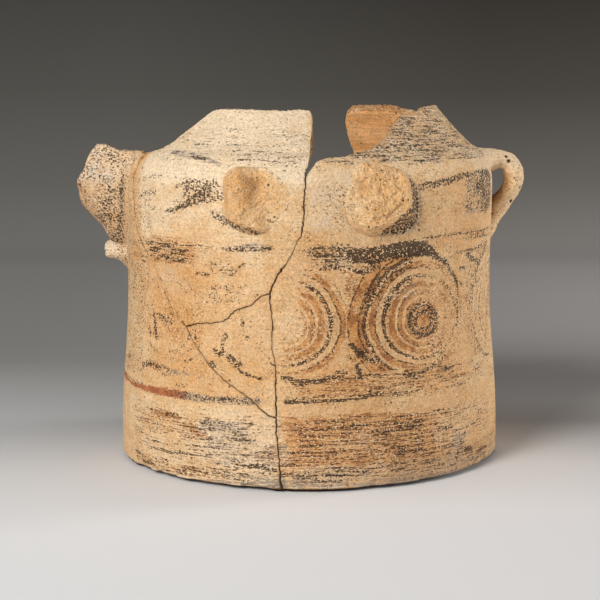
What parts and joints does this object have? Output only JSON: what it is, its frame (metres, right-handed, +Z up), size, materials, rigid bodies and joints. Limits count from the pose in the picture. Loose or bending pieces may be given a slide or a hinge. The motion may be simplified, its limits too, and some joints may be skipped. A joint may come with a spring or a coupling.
{
  "type": "bridge-spouted jar",
  "caption": "Broken and mended earthenware jar with a drum-shaped body, short neck, open trough spout, loop handle and handle stumps, for standing and displaying.",
  "frame": {"origin": "on the jar's axis at the underside of its base", "axes": "+Z up along the jar's axis, +X towards the loop handle and -X towards the spout, -Y towards the front with the two handle stumps"},
  "size_m": [0.2365, 0.201, 0.184],
  "materials": {
    "painted_clay": "matt buff clay with flaking brown-black and orange paint",
    "plain_clay": "matt unpainted buff clay",
    "spout_clay": "matt buff clay with worn speckled paint",
    "broken_clay": "rough broken clay",
    "toned_plaster": "smooth plaster fill toned to the clay",
    "adhesive": "dried conservation adhesive"
  },
  "bodies": {
    "root": {"left_wall_sherd": "painted_clay", "upper_left_sherd": "painted_clay", "triangle_sherd": "painted_clay", "right_wall_sherd": "painted_clay", "left_base_sherd": "plain_clay", "right_base_sherd": "plain_clay", "spout": "spout_clay", "spout_pellet": "spout_clay", "rear_handle": "plain_clay", "front_handle_stump_left": "broken_clay", "front_handle_stump_right": "broken_clay", "back_handle_stump": "broken_clay", "seam_fill": "toned_plaster", "front_upper_glue": "adhesive", "triangle_top_glue": "adhesive", "triangle_right_glue": "adhesive", "triangle_left_glue": "adhesive", "front_lower_glue": "adhesive", "spout_seam_glue": "adhesive", "back_glue": "adhesive", "base_glue": "adhesive"}
  },
  "joints": []
}
